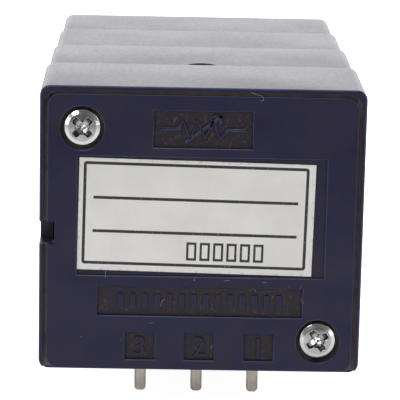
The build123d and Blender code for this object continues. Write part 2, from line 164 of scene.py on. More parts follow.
def blend_colour(tree, amount, first, second):
    """Mixes two colours or colour sockets by an amount."""
    made = node(tree, "ShaderNodeMix", data_type="RGBA")
    for key, value in (("Factor", amount), ("A", first), ("B", second)):
        socket = next(s for s in made.inputs if s.name == key and (key == "Factor" or s.type == "RGBA"))
        if isinstance(value, bpy.types.NodeSocket):
            tree.links.new(value, socket)
        else:
            socket.default_value = value if key == "Factor" else (*value, 1.0)
    return next(s for s in made.outputs if s.type == "RGBA")


# %% Masks
def band(tree, value, middle, half, soft=0.02 * MM):
    """1 where a value lies within half of middle."""
    off = maths(tree, "ABSOLUTE", maths(tree, "SUBTRACT", value, middle))
    return ramp(tree, off, half - soft, half + soft, 1.0, 0.0)


def both(tree, *masks):
    """The product of masks and strengths: 1 where every one is 1."""
    result = masks[0]
    for mask in masks[1:]:
        result = maths(tree, "MULTIPLY", result, mask)
    return result


def either(tree, *masks):
    """1 where any mask is 1."""
    result = masks[0]
    for mask in masks[1:]:
        result = maths(tree, "MAXIMUM", result, mask)
    return result


# %% Onto the shader and onto the parts
def coat(tree, shader, colour, rough=None):
    """Links a colour, and a roughness where it varies, to the shader."""
    tree.links.new(colour, shader.inputs["Base Color"])
    if rough is not None:
        tree.links.new(rough, shader.inputs["Roughness"])


def relief(tree, shader, *layers):
    """Chains bumps, each (height socket, depth in metres), into the shader's normal."""
    normal = None
    for height, depth in layers:
        bump = node(tree, "ShaderNodeBump", {"Height": height, "Strength": 1.0, "Distance": depth})
        if normal is not None:
            tree.links.new(normal, bump.inputs["Normal"])
        normal = bump.outputs["Normal"]
    tree.links.new(normal, shader.inputs["Normal"])


def repaint(material, change):
    """Passes a finished material's colour through change(tree, colour)."""
    tree = material.node_tree
    socket = tree.nodes["Principled BSDF"].inputs["Base Color"]
    tree.links.new(change(tree, socket.links[0].from_socket), socket)


def settle(shader, **values):
    """Sets the shader's own sockets, such as Metallic or IOR."""
    for key, value in values.items():
        shader.inputs[key.replace("_", " ")].default_value = value


def dress(material, *names):
    """Puts a material on engineered parts, by name or by the start of a name."""
    count = 0
    for name, part in nodes.items():
        if any(name == n or (n.endswith("_") and name.startswith(n)) for n in names):
            part.data.materials.clear()
            part.data.materials.append(material)
            count += 1
    print(material.name, "on", count, "parts")


# %% [markdown]
# # Navy moulded plastic
#
# The housings are injection-moulded in a navy blue plastic. Head-on it is nearly black with a blue
# cast, and at a grazing angle, as on the top, it turns pale grey, because a smooth dielectric
# mirrors whatever is behind it. That needs no painted gradient: a dark base with the right
# roughness does it. Three bumps give the moulding its life: walls that bow a little along each
# gang, broad shallow sink marks where the wall cooled over the ribs inside, and a fine grain from
# the tool's surface. Edges get a painted highlight, a paler blue. Brown grime and dust lie in
# whatever is sunk, where a wipe doesn't reach, and the groove round the panel is painted a pale
# brown that is partly dirt and partly painted light.

# %% Plastic of the housings
NAVY = (0.0085, 0.0095, 0.044)
NAVY_WARM = (0.0160, 0.0105, 0.033)
# a paler blue, painted along the edges as a highlight
PAINTED_EDGE_HIGHLIGHT = (0.030, 0.044, 0.105)
GRIME = (0.019, 0.0125, 0.0185)
BORE_GRIME = (0.17, 0.13, 0.105)
# the groove's pale brown is partly dirt and partly painted light, paler than the shade that falls in it
GROOVE_DIRT_AND_PAINTED_LIGHT = (0.15, 0.105, 0.105)
DUST = (0.15, 0.095, 0.078)


def facing_back(tree, low, high):
    """1 where a surface looks along +Y by at least `high`, fading out below `low`."""
    normal = node(tree, "ShaderNodeTexCoord").outputs["Normal"]
    return ramp(tree, node(tree, "ShaderNodeSeparateXYZ", {"Vector": normal}).outputs["Y"], low, high)


def below_face(tree, y, high, low):
    """0 above a depth `high` under the rear face, 1 below a depth `low`, in millimetres."""
    return ramp(tree, y, FACE - low * MM, FACE - high * MM, 1.0, 0.0)


# %% Where grime and dust lie, in the sunk fields and the screw bores, and the groove round the panel, whose pale brown is partly dirt and partly painted light
MIDDLE = 0.3 * MM            # the middle of the body above the shaft axis
# half widths and half heights between which each mask fades
BORES_W = (12.4 * MM, 12.6 * MM)
BORES_H = (11.0 * MM, 11.2 * MM)
GROOVE_IN_W = (12.6 * MM, 12.8 * MM)
GROOVE_IN_H = (11.25 * MM, 11.4 * MM)
GROOVE_OUT_W = (13.2 * MM, 13.25 * MM)
GROOVE_OUT_H = (11.85 * MM, 11.95 * MM)


def sunk_masks(tree, x, y, z):
    """The sunk floors, the screw bores and the groove, each 1 where it is."""
    across = maths(tree, "ABSOLUTE", x)
    up = maths(tree, "ABSOLUTE", maths(tree, "SUBTRACT", z, MIDDLE))
    sunk = both(tree, below_face(tree, y, 0.2, 0.33), facing_back(tree, 0.6, 0.9))
    bore = both(tree, ramp(tree, across, *BORES_W, 1.0, 0.0), ramp(tree, up, *BORES_H, 1.0, 0.0),
                below_face(tree, y, 0.35, 0.6))
    outside = either(tree, ramp(tree, across, *GROOVE_IN_W), ramp(tree, up, *GROOVE_IN_H))
    inside = both(tree, ramp(tree, across, *GROOVE_OUT_W, 1.0, 0.0),
                  ramp(tree, up, *GROOVE_OUT_H, 1.0, 0.0))
    shallow = ramp(tree, y, FACE - 0.75 * MM, FACE - 0.68 * MM)
    groove = both(tree, outside, inside, below_face(tree, y, 0.2, 0.32), shallow)
    return sunk, bore, groove


# %% The plastic: colour, wear, dirt, gloss and relief
def housing_plastic():
    material, tree, shader = finish("navy_plastic")
    vector, x, y, z = place(tree)
    cloud = noise(tree, vector, 2.2 * MM, 3.0, 0.6)
    body = blend_colour(tree, ramp(tree, cloud, 0.35, 0.68), NAVY, NAVY_WARM)
    # rounded and broken edges of the rear end get a painted highlight, an uneven paler blue
    edge = maths(tree, "SUBTRACT", facing_back(tree, 0.08, 0.3), facing_back(tree, 0.9, 0.98))
    edge_highlight = both(tree, edge, ramp(tree, noise(tree, vector, 0.9 * MM, 3.0), 0.25, 0.6, 0.45, 1.0))
    body = blend_colour(tree, edge_highlight, body, PAINTED_EDGE_HIGHLIGHT)
    # grime darkens the sunk floors and a paler film of dirt lies in the bores; the groove's pale brown
    # is partly dirt and partly painted light that lifts its shade
    sunk, bore, groove = sunk_masks(tree, x, y, z)
    patch = ramp(tree, noise(tree, vector, 1.4 * MM, 4.0, 0.65), 0.3, 0.6, 0.55, 1.0)
    for where, colour in ((sunk, GRIME), (bore, BORE_GRIME), (groove, GROOVE_DIRT_AND_PAINTED_LIGHT)):
        body = blend_colour(tree, both(tree, where, patch), body, colour)
    # dust gathers on the sunk floors and lies as single specks elsewhere
    gather = ramp(tree, noise(tree, vector, 0.3 * MM, 5.0, 0.7), 0.53, 0.72)
    speck = ramp(tree, noise(tree, vector, 0.16 * MM, 3.0, 0.6), 0.70, 0.78)
    dusty = both(tree, either(tree, both(tree, sunk, gather), both(tree, speck, 0.22)), 0.55)
    # dust and grime are duller than the moulding
    fleck = noise(tree, vector, 0.35 * MM, 4.0, 0.65)
    rough = maths(tree, "ADD", ramp(tree, fleck, 0.3, 0.7, 0.29, 0.36), both(tree, dusty, 0.5))
    rough = maths(tree, "ADD", rough, both(tree, sunk, 0.12))
    coat(tree, shader, blend_colour(tree, dusty, body, DUST), rough)
    # each gang's walls bow: they fall away a little towards its rear end
    along = maths(tree, "DIVIDE", maths(tree, "SUBTRACT", y, GANG_FRONT), GANG_LONG)
    along = maths(tree, "FRACT", along)
    bow = maths(tree, "MULTIPLY", maths(tree, "MULTIPLY", along, along), -1.0)
    sink = noise(tree, stretch(tree, vector, 0.75, 0.4, 1.0), 5.5 * MM, 1.0, 0.3)
    grain = noise(tree, vector, 0.2 * MM, 2.0, 0.5)
    relief(tree, shader, (bow, 0.4 * MM), (sink, 0.5 * MM), (grain, 0.0006 * MM))
    settle(shader, IOR=1.46, Specular_IOR_Level=0.38)
    return material


navy = housing_plastic()
dress(navy, "gang_housing_")

# %% [markdown]
# # Metals
#
# Seven metals meet here. The plate is die-cast zinc with a dull, slightly mottled skin. The
# bushing and the shaft are turned brass under bright nickel, so they carry fine rings across their
# length. The screws are steel under bright zinc. The terminals are stamped brass under silver,
# which tarnishes warm and unevenly. Spring steel, bronze and brass are inside. One function makes
# them all: what differs is the colour, the roughness, and the direction and depth of the marks.


# %% One function for all the metals
def metal(name, colour, tint, rough, marks, mark_depth, mottle=1.2 * MM, pits=0.0):
    """marks is rings across the shaft axis, drawn along Z, or skin for an even fine grain."""
    material, tree, shader = finish(name)
    vector, *_ = place(tree)
    cloud = noise(tree, vector, mottle, 4.0, 0.6)
    smear = noise(tree, vector, mottle * 0.4, 3.0, 0.6)
    coat(tree, shader, blend_colour(tree, ramp(tree, cloud, 0.3, 0.72), colour, tint),
         ramp(tree, smear, 0.25, 0.75, rough * 0.75, rough * 1.35))
    scratches = {
        "rings": lambda: noise(tree, stretch(tree, vector, 0.02, 1.0, 0.02), 0.09 * MM, 3.0, 0.7),
        "drawn": lambda: noise(tree, stretch(tree, vector, 1.0, 1.0, 0.03), 0.07 * MM, 3.0, 0.7),
        "skin": lambda: noise(tree, vector, 0.16 * MM, 4.0, 0.6),
    }
    layers = [(scratches[marks](), mark_depth)]
    if pits:
        layers.append((ramp(tree, noise(tree, vector, 0.3 * MM, 2.0), 0.3, 0.42), pits))
    relief(tree, shader, *layers)
    settle(shader, Metallic=1.0)
    return material


cast_zinc = metal("cast_zinc", (0.43, 0.43, 0.425), (0.48, 0.48, 0.48), 0.42,
                  "skin", 0.012 * MM, pits=0.006 * MM)
nickel = metal("nickel_plated_brass", (0.56, 0.53, 0.48), (0.64, 0.61, 0.56), 0.2, "rings", 0.0035 * MM)
silver = metal("silvered_brass", (0.93, 0.80, 0.69), (1.0, 0.95, 0.89), 0.36,
               "drawn", 0.006 * MM, mottle=0.5 * MM)
steel = metal("spring_steel", (0.40, 0.40, 0.41), (0.52, 0.52, 0.53), 0.3, "skin", 0.002 * MM)
bronze = metal("phosphor_bronze", (0.62, 0.38, 0.19), (0.72, 0.47, 0.26), 0.28, "drawn", 0.002 * MM)
brass = metal("rivet_brass", (0.66, 0.52, 0.28), (0.74, 0.61, 0.36), 0.3, "skin", 0.002 * MM)
zinc_plate = metal("bright_zinc", (0.36, 0.36, 0.37), (0.55, 0.55, 0.56), 0.13,
                   "skin", 0.003 * MM, mottle=0.6 * MM)

# %% Tarnish along the edges of the terminals
def tarnished(tree, colour):
    """Warms and darkens silver towards the sides of each blade."""
    vector, x, *_ = place(tree)
    from_middle = maths(tree, "PINGPONG", x, PIN_PITCH / 2)
    amount = both(tree, ramp(tree, from_middle, 0.3 * MM, 0.46 * MM),
                  ramp(tree, noise(tree, vector, 0.6 * MM, 3.0), 0.35, 0.6, 0.35, 0.9))
    return blend_colour(tree, amount, colour, (0.56, 0.40, 0.27))


repaint(silver, tarnished)

# %% Metals on their parts
dress(cast_zinc, "front_plate")
dress(nickel, "shaft")
dress(silver, "terminal_1_", "terminal_2_", "terminal_3_", "terminal_4_")
dress(steel, "stop_disc", "retaining_ring")
dress(bronze, "thrust_washer", "wiper_")
dress(brass, "terminal_rivets_")

# %% [markdown]
# # The parts inside
#
# Little of the inside shows, only what the terminal slots and the side notches let through, but an
# open model should still look right. The element board is brown phenolic laminate with a
# screen-printed carbon horseshoe and a silver collector ring. Both are rings about the shaft, so
# their masks come from the distance to the axis and the angle round it.


# %% Laminate with its printed tracks
LAMINATE = (0.20, 0.085, 0.03)
LAMINATE_PALE = (0.30, 0.14, 0.055)
COLLECTOR = (0.62, 0.6, 0.57)
CARBON = (0.012, 0.012, 0.013)


def ring_mask(tree, radius, inner, outer):
    """1 between two radii, with edges 0.03 mm soft."""
    soft = 0.03 * MM
    rise = ramp(tree, radius, inner - soft, inner + soft)
    return both(tree, rise, ramp(tree, radius, outer - soft, outer + soft, 1.0, 0.0))


def element_board():
    material, tree, shader = finish("phenolic_board")
    vector, x, _, z = place(tree)
    radius = distance(tree, x, z)
    angle = maths(tree, "ABSOLUTE", maths(tree, "ARCTAN2", x, z))
    horseshoe = ramp(tree, angle, math.radians(156), math.radians(157), 1.0, 0.0)
    carbon = both(tree, ring_mask(tree, radius, 5.7 * MM, 7.3 * MM), horseshoe)
    collector = ring_mask(tree, radius, 3.9 * MM, 5.3 * MM)
    fibre = noise(tree, stretch(tree, vector, 0.2, 1, 1), 0.2 * MM, 4)
    base = blend_colour(tree, ramp(tree, fibre, 0.3, 0.7), LAMINATE, LAMINATE_PALE)
    base = blend_colour(tree, collector, base, COLLECTOR)
    coat(tree, shader, blend_colour(tree, carbon, base, CARBON), ramp(tree, collector, 0, 1, 0.5, 0.3))
    relief(tree, shader, (maths(tree, "ADD", carbon, collector), 0.02 * MM), (fibre, 0.004 * MM))
    return material


def moulding(name, colour, shade, rough):
    """Plain moulded plastic with flow marks and a fine grain."""
    material, tree, shader = finish(name)
    vector, *_ = place(tree)
    flow = noise(tree, vector, 2.5 * MM, 3.0, 0.55, 0.4)
    coat(tree, shader, blend_colour(tree, ramp(tree, flow, 0.3, 0.7), colour, shade),
         ramp(tree, flow, 0.3, 0.7, rough * 0.85, rough * 1.15))
    relief(tree, shader, (noise(tree, vector, 0.15 * MM, 3.0), 0.004 * MM))
    return material


dress(element_board(), "element_board_")
dress(moulding("natural_acetal", (0.72, 0.70, 0.64), (0.80, 0.79, 0.74), 0.4), "rotor_")

# %% [markdown]
# # The paper label
#
# A printed paper label is stuck in the panel's recess, about a degree askew. Its print is only
# lines and blocks: a black frame, two rules that part it into three rows, and a value printed in
# the last row, which is a row of plain blocks here. The pattern is worked out from the distance to
# each line, in coordinates centred on the label and turned with it, so the lines stay sharp at any
# distance. The ink is a little uneven and the paper has a fine tooth and a faintly soiled edge.

# %% The print: a frame, two rules and a row of blocks
LABEL_W = 19.62 * MM
LABEL_H = 9.5 * MM
LABEL_TURN = math.radians(0.94)
LINE_HALF = 0.125 * MM
FRAME_HALF_W = 9.235 * MM
FRAME_HALF_H = 4.23 * MM
FRAME_CORNER = 0.14 * MM
RULES_V = (1.43 * MM, -1.41 * MM)
RULE_HALF_LONG = 8.51 * MM
BLOCKS = 6
BLOCK_PITCH = 1.12 * MM
FIRST_BLOCK = -0.3 * MM
BLOCKS_V = -2.93 * MM


def printed_frame(tree, u, v):
    """The edge of a rounded rectangle, from its distance function."""
    out_u = maths(tree, "SUBTRACT", maths(tree, "ABSOLUTE", maths(tree, "ADD", u, 0.085 * MM)),
                  FRAME_HALF_W - FRAME_CORNER)
    out_v = maths(tree, "SUBTRACT", maths(tree, "ABSOLUTE", maths(tree, "SUBTRACT", v, 0.1 * MM)),
                  FRAME_HALF_H - FRAME_CORNER)
    beyond = distance(tree, maths(tree, "MAXIMUM", out_u, 0.0), maths(tree, "MAXIMUM", out_v, 0.0))
    within = maths(tree, "MINIMUM", maths(tree, "MAXIMUM", out_u, out_v), 0.0)
    return band(tree, maths(tree, "ADD", beyond, within), FRAME_CORNER, LINE_HALF)


def printed_rules(tree, u, v):
    """Two rules that part the label into three rows."""
    lines = either(tree, *[band(tree, v, rule, LINE_HALF) for rule in RULES_V])
    return both(tree, lines, band(tree, u, -0.07 * MM, RULE_HALF_LONG))


def printed_blocks(tree, u, v):
    """Six hollow blocks, which stand where a value would be printed."""
    start = FIRST_BLOCK - BLOCK_PITCH / 2
    cell = maths(tree, "PINGPONG", maths(tree, "SUBTRACT", u, start), BLOCK_PITCH / 2)
    row = band(tree, u, start + BLOCKS * BLOCK_PITCH / 2, BLOCKS * BLOCK_PITCH / 2)
    soft = 0.03 * MM
    solid = both(tree, ramp(tree, cell, 0.12 * MM, 0.15 * MM),
                 band(tree, v, BLOCKS_V, 0.78 * MM, soft), row)
    hollow = both(tree, ramp(tree, cell, 0.31 * MM, 0.34 * MM), band(tree, v, BLOCKS_V, 0.57 * MM, soft))
    return both(tree, solid, maths(tree, "SUBTRACT", 1.0, hollow))


# %% The paper: tone, tooth and a soiled edge
PAPER = (0.76, 0.745, 0.725)
PAPER_DULL = (0.70, 0.685, 0.66)
SOIL = (0.34, 0.26, 0.2)
INK = (0.018, 0.017, 0.02)


def label_paper():
    material, tree, shader = finish("printed_paper")
    vector, *_ = place(tree)
    centred = node(tree, "ShaderNodeMapping", {
        "Vector": vector, "Location": (label_low + label_high) / 2, "Rotation": (0, -LABEL_TURN, 0)},
        vector_type="TEXTURE").outputs[0]
    axes = node(tree, "ShaderNodeSeparateXYZ", {"Vector": centred})
    u = maths(tree, "MULTIPLY", axes.outputs["X"], -1.0)
    v = axes.outputs["Z"]
    patchy = ramp(tree, noise(tree, vector, 0.18 * MM, 3.0, 0.7), 0.28, 0.42, 0.75, 1.0)
    marks = [print_of(tree, u, v) for print_of in (printed_frame, printed_rules, printed_blocks)]
    ink = both(tree, either(tree, *marks), patchy)
    fibre = noise(tree, vector, 0.14 * MM, 4.0, 0.65)
    tone = noise(tree, vector, 4 * MM, 3.0, 0.6)
    paper = blend_colour(tree, ramp(tree, tone, 0.3, 0.7), PAPER, PAPER_DULL)
    edge = either(tree, ramp(tree, maths(tree, "ABSOLUTE", u), LABEL_W / 2 - 0.35 * MM, LABEL_W / 2),
                  ramp(tree, maths(tree, "ABSOLUTE", v), LABEL_H / 2 - 0.3 * MM, LABEL_H / 2))
    soiled = both(tree, edge, ramp(tree, noise(tree, vector, 0.5 * MM, 4.0, 0.7), 0.45, 0.7), 0.5)
    paper = blend_colour(tree, soiled, paper, SOIL)
    coat(tree, shader, blend_colour(tree, ink, paper, INK), ramp(tree, ink, 0.0, 1.0, 0.62, 0.45))
    relief(tree, shader, (fibre, 0.005 * MM), (tone, 0.05 * MM))
    return material


dress(label_paper(), "label")

# %% [markdown]
# # The threaded bushing
#
# The bushing has a fine thread, eight millimetres across with a pitch of 0.75 mm. A thread is a
# profile that follows a helix, so Geometry Nodes make it: a Spiral curve, a small triangle swept
# along it, and a curve radius that fades at both ends, where the real tool runs out. The turned
# core is a revolved outline with its chamfer and its undercut.

# %% A mesh shown in the scene
def show(name, data):
    """A new object at the origin that holds a mesh, curve, lamp or camera."""
    made = bpy.data.objects.new(name, data)
    bpy.context.scene.collection.objects.link(made)
    return made


def mesh_of(name, bm):
    """A new mesh from a bmesh, which is then freed."""
    mesh = bpy.data.meshes.new(name)
    bm.to_mesh(mesh)
    bm.free()
    return mesh


# %% The core of the bushing: an outline revolved about the shaft axis
bushing_low, bushing_high = (Vector(corner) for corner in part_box("bushing"))
THREAD_R = 4.0 * MM
THREAD_PITCH = 0.75 * MM
THREAD_DEEP = 0.4 * MM
SHOULDER_R = 4.8 * MM
BORE_R = 3.05 * MM
ROUND = 96


def revolve(name, outline):
    """Turns a closed outline of (radius, y) points about the Y axis into a mesh object."""
    bm = bmesh.new()
    rings = []
    for step in range(ROUND):
        turn = 2 * math.pi * step / ROUND
        rings.append([bm.verts.new((r * math.cos(turn), y, r * math.sin(turn))) for r, y in outline])
    count = len(outline)
    for step, ring in enumerate(rings):
        ahead = rings[(step + 1) % ROUND]
        for i in range(count):
            j = (i + 1) % count
            bm.faces.new((ring[i], ring[j], ahead[j], ahead[i]))
    bmesh.ops.recalc_face_normals(bm, faces=bm.faces)
    return show(name, mesh_of(name, bm))


tip = bushing_low.y
foot = bushing_high.y
root = THREAD_R - THREAD_DEEP
core = revolve("bushing_core", [
    (BORE_R + 0.12 * MM, tip), (root - 0.1 * MM, tip), (root, tip + 0.1 * MM), (root, -0.55 * MM),
    (root - 0.05 * MM, -0.5 * MM), (root - 0.05 * MM, 0.0), (SHOULDER_R, 0.0), (SHOULDER_R, foot),
    (BORE_R, foot), (BORE_R, tip + 0.12 * MM),
])
print("core faces:", len(core.data.polygons))


# %% Start and end of a geometry tree
def start_tree(name, sizes, mesh_in=False):
    """A tree with named size inputs: the tree, its inputs, and each input's identifier by name."""
    tree = bpy.data.node_groups.new(name, "GeometryNodeTree")
    face = tree.interface
    face.new_socket("Geometry", in_out="OUTPUT", socket_type="NodeSocketGeometry")
    if mesh_in:
        face.new_socket("Geometry", in_out="INPUT", socket_type="NodeSocketGeometry")
    sockets = {}
    for size in sizes:
        kind = "NodeSocketInt" if size == "Count" else "NodeSocketFloat"
        sockets[size] = face.new_socket(size, in_out="INPUT", socket_type=kind).identifier
    return tree, tree.nodes.new("NodeGroupInput").outputs, sockets


def end_tree(tree, geometry, material):
    """Makes everything real mesh with one material, and sends it out."""
    real = node(tree, "GeometryNodeRealizeInstances", {"Geometry": geometry}).outputs[0]
    painted = node(tree, "GeometryNodeSetMaterial", {"Geometry": real, "Material": material}).outputs[0]
    tree.links.new(painted, tree.nodes.new("NodeGroupOutput").inputs[0])


# %% The thread: a node tree with its sizes as named inputs
def thread_tree(material):
    tree, start, sockets = start_tree("thread", ("Length", "Pitch", "Root radius", "Depth", "Run-out"))
    turns = maths(tree, "DIVIDE", start["Length"], start["Pitch"])
    helix = node(tree, "GeometryNodeCurveSpiral", {
        "Resolution": 64, "Rotations": turns, "Start Radius": start["Root radius"],
        "End Radius": start["Root radius"], "Height": start["Length"]})
    along = node(tree, "GeometryNodeSplineParameter").outputs["Length"]
    whole = node(tree, "GeometryNodeSplineLength").outputs["Length"]
    nearest = maths(tree, "MINIMUM", along, maths(tree, "SUBTRACT", whole, along))
    fade = ramp(tree, nearest, 0.0, start["Run-out"], 0.02, 1.0)
    thin = node(tree, "GeometryNodeSetCurveRadius", {"Curve": helix.outputs[0], "Radius": fade})
    ridge = node(tree, "GeometryNodeCurvePrimitiveCircle", {"Resolution": 3, "Radius": start["Depth"]})
    swept = node(tree, "GeometryNodeCurveToMesh", {
        "Curve": thin.outputs[0], "Profile Curve": ridge.outputs[0], "Fill Caps": True})
    end_tree(tree, swept.outputs[0], material)
    return tree, sockets


# %% Run a tree and keep its mesh
def kept_mesh(name, holder):
    """The mesh that an object evaluates to, as a plain object in its place."""
    bpy.context.view_layer.update()
    ready = holder.evaluated_get(bpy.context.evaluated_depsgraph_get())
    mesh = bpy.data.meshes.new_from_object(ready)
    mesh.name = name
    bpy.data.objects.remove(holder)
    return show(name, mesh)


def grown(name, tree, sockets, sizes, mesh=None):
    """Runs a node tree on a mesh, with its sizes set, and returns the plain mesh object."""
    holder = show(name + "_holder", mesh or bpy.data.meshes.new(name + "_holder"))
    modifier = holder.modifiers.new("make", "NODES")
    modifier.node_group = tree
    for key, value in sizes.items():
        modifier[sockets[key]] = value
    holder.update_tag()
    return kept_mesh(name, holder)


THREAD_START = tip + 0.35 * MM
THREAD_END = -0.7 * MM
thread = grown("bushing_thread", *thread_tree(nickel), {
    "Length": THREAD_END - THREAD_START, "Pitch": THREAD_PITCH,
    "Root radius": root + 0.5 * THREAD_DEEP - 0.02 * MM, "Depth": 0.43 * MM, "Run-out": 10 * MM})
upright_to_shaft = Matrix.Rotation(math.radians(-90), 4, "X")
thread.data.transform(Matrix.Translation((0, THREAD_START, 0)) @ upright_to_shaft)
print("thread faces:", len(thread.data.polygons), "radius mm:",
      round(max(math.hypot(v.co.x, v.co.z) for v in thread.data.vertices) / MM, 3))

# %% Join core and thread as one piece, on the case
core.data.materials.append(nickel)
for piece in (core, thread):
    for polygon in piece.data.polygons:
        polygon.use_smooth = False


def joined(name, pieces):
    """One object from several, all at the origin."""
    bm = bmesh.new()
    for piece in pieces:
        bm.from_mesh(piece.data)
    mesh = mesh_of(name, bm)
    for material in pieces[0].data.materials:
        mesh.materials.append(material)
    for piece in pieces:
        bpy.data.objects.remove(piece)
    return show(name, mesh)


threaded_bushing = joined("threaded_bushing", [core, thread])
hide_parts("bushing")
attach(threaded_bushing, "case")

# %% [markdown]
# # The case screws
#
# Two long pan-head screws clamp the stack, and only their heads show. A head is a low dome with a
# cross recess: two crossed wings that slope down to a pointed core. The engineered screw has a
# plain cross, so each screw is built again here as one mesh of rings. The rings of the dome are
# pushed down by a depth function that says how deep the recess is at every point. The zinc has a
# painted shade, dark, in the ends of the recess, and a painted highlight, pale, on the rim.

# %% Height of the dome and depth of the recess
HEAD_TALL = 1.05 * MM
SHANK_R = 0.9 * MM
WING_LONG = 0.98 * MM
WING_HALF = 0.29 * MM
WING_DEEP = 0.3 * MM         # at the outer end of a wing
CORE_R = 0.6 * MM
RECESS = 0.72 * MM           # depth at the middle
CROWN = 0.1 * MM             # how much the dome falls from its top to its bevelled ring
RING_WIDE = 0.36 * MM
RING_SLOPE = 0.38
EDGE_WIDE = 0.06 * MM
EDGE_FALL = 0.12 * MM


def eased(value, low, high):
    """0 below low, 1 above high, and smooth between."""
    t = min(max((value - low) / (high - low), 0.0), 1.0)
    return t * t * (3 - 2 * t)


def dome(r, head_r):
    """How far a pan head has fallen below its top: a low dome, a bevelled ring, a round edge."""
    ring, edge = head_r - RING_WIDE, head_r - EDGE_WIDE
    fall = CROWN * (min(r, ring) / ring) ** 2
    fall += RING_SLOPE * max(min(r, edge) - ring, 0.0)
    if r > edge:
        t = (r - edge) / (head_r - edge)
        fall += EDGE_FALL * (1 - math.sqrt(max(1 - t * t, 0.0)))
    return fall


def recess(a, b):
    """Depth of the cross recess at a point, in the cross's own axes."""
    r = math.hypot(a, b)
    deep = RECESS * max(1 - r / (CORE_R * 1.5), 0.0) ** 0.8 if r < CORE_R else 0.0
    for along, aside in ((abs(a), abs(b)), (abs(b), abs(a))):
        half = WING_HALF - 0.05 * MM * along / WING_LONG
        slope = min((WING_LONG - along) / (0.16 * MM), 1.0) if along < WING_LONG else 0.0
        wall = 1 - eased(aside, half - 0.05 * MM, half + 0.03 * MM)
        floor = WING_DEEP + (RECESS - WING_DEEP) * max(1 - along / (0.85 * MM), 0.0)
        deep = max(deep, wall * slope * floor)
    return deep


# %% One screw: rings from the centre of the dome, down the side and along the shank
AROUND = 160


def cross_screw(name, like, turn):
    low, high = (Vector(corner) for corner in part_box(like))
    centre = (low + high) / 2
    head_r = (high.x - low.x) / 2
    seat = high.y - HEAD_TALL
    # the outer quarter has closer rings, for the bevel and the round edge
    radii = [head_r * (i / 52) for i in range(1, 40)]
    radii += [head_r * (0.75 + 0.25 * i / 16) for i in range(1, 17)]
    bm = bmesh.new()

    def ring(r, height, cut=False):
        verts = []
        for i in range(AROUND):
            angle = 2 * math.pi * i / AROUND
            a, b = r * math.cos(angle), r * math.sin(angle)
            turned = a * math.cos(turn) + b * math.sin(turn), b * math.cos(turn) - a * math.sin(turn)
            deep = recess(*turned) if cut else 0.0
            verts.append(bm.verts.new((centre.x + a, height - deep, centre.z + b)))
        return verts

    tip_vert = bm.verts.new((centre.x, high.y - recess(0, 0), centre.z))
    rings = [ring(r, high.y - dome(r, head_r), r < WING_LONG) for r in radii]
    rings += [ring(head_r, seat + 0.05 * MM), ring(head_r - 0.05 * MM, seat), ring(SHANK_R, seat),
              ring(SHANK_R, low.y + 0.3 * MM), ring(SHANK_R - 0.3 * MM, low.y)]
    end_vert = bm.verts.new((centre.x, low.y, centre.z))
    for i in range(AROUND):
        j = (i + 1) % AROUND
        bm.faces.new((tip_vert, rings[0][i], rings[0][j]))
        bm.faces.new((end_vert, rings[-1][i], rings[-1][j]))
        for inner, outer in zip(rings, rings[1:]):
            bm.faces.new((inner[i], outer[i], outer[j], inner[j]))
    bmesh.ops.recalc_face_normals(bm, faces=bm.faces)
    mesh = mesh_of(name, bm)
    mesh.materials.append(zinc_plate)
    for polygon in mesh.polygons:
        polygon.use_smooth = True
    made = show(name, mesh)
    sharp = made.modifiers.new("flat underside", "EDGE_SPLIT")
    sharp.split_angle = math.radians(55)
    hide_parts(like)
    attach(made, "case")
    print(name, "faces:", len(mesh.polygons))


# %% Painted shade in the recess ends and a painted highlight on the rims
SCREWS = ("case_screw_1", "case_screw_2")
# a painted shade for the recess ends and a painted highlight for the rim
PAINTED_POCKET_SHADE = (0.035, 0.028, 0.032)
PAINTED_RIM_HIGHLIGHT = (0.70, 0.71, 0.69)


def worn_zinc(tree, colour):
    _, x, y, z = place(tree)
    spreads = []
    for name in SCREWS:
        low, high = (Vector(corner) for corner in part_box(name))
        across = maths(tree, "SUBTRACT", x, (low.x + high.x) / 2)
        spreads.append(distance(tree, across, maths(tree, "SUBTRACT", z, (low.z + high.z) / 2)))
    spread = maths(tree, "MINIMUM", *spreads)
    top = high.y             # both heads are equally high
    wing_end = both(tree, ramp(tree, spread, 0.5 * MM, 0.66 * MM),
                    ramp(tree, spread, 1.0 * MM, 1.04 * MM, 1.0, 0.0))
    # painted shade: the zinc is darkened at the outer ends of the wings, deep in the recess
    pocket_shade = both(tree, wing_end, ramp(tree, y, top - 0.24 * MM, top - 0.13 * MM, 1.0, 0.0), 0.88)
    # painted highlight: the bevelled rim is paler in the colour
    rim = both(tree, ramp(tree, spread, 1.12 * MM, 1.22 * MM),
               ramp(tree, y, top - 0.4 * MM, top - 0.3 * MM))
    colour = blend_colour(tree, rim, colour, PAINTED_RIM_HIGHLIGHT)
    return blend_colour(tree, pocket_shade, colour, PAINTED_POCKET_SHADE)


repaint(zinc_plate, worn_zinc)
cross_screw("pan_head_screw_1", "case_screw_1", math.radians(45))
cross_screw("pan_head_screw_2", "case_screw_2", math.radians(-32))

# %% [markdown]
# # Raised marks on the rear panel
#
# Moulded marks stand in the sunk fields of the panel. The three small squares carry the terminal
# numbers, counted 3, 2, 1 from the left when the panel is seen from behind. The wide field at the
# top has a drawn symbol of a variable resistor, and the long field below the label a plain row of
# bars. All are the same plastic as the housing. Each mark is a flat curve or polygon that is given
# a thickness, and the numbers and bars a small bevel, because a moulded mark is never quite sharp.

# %% From the flat page to the rear panel
RECESS_FLOOR = FACE - 0.35 * MM
MARK_HIGH = 0.16 * MM


def onto_panel(u, v, floor=RECESS_FLOOR):
    """Puts a drawing, X right and Y up, on the panel at u right of and v above the axis, from behind."""
    return Matrix(((-1, 0, 0, -u), (0, 0, 1, floor), (0, 1, 0, v), (0, 0, 0, 1)))


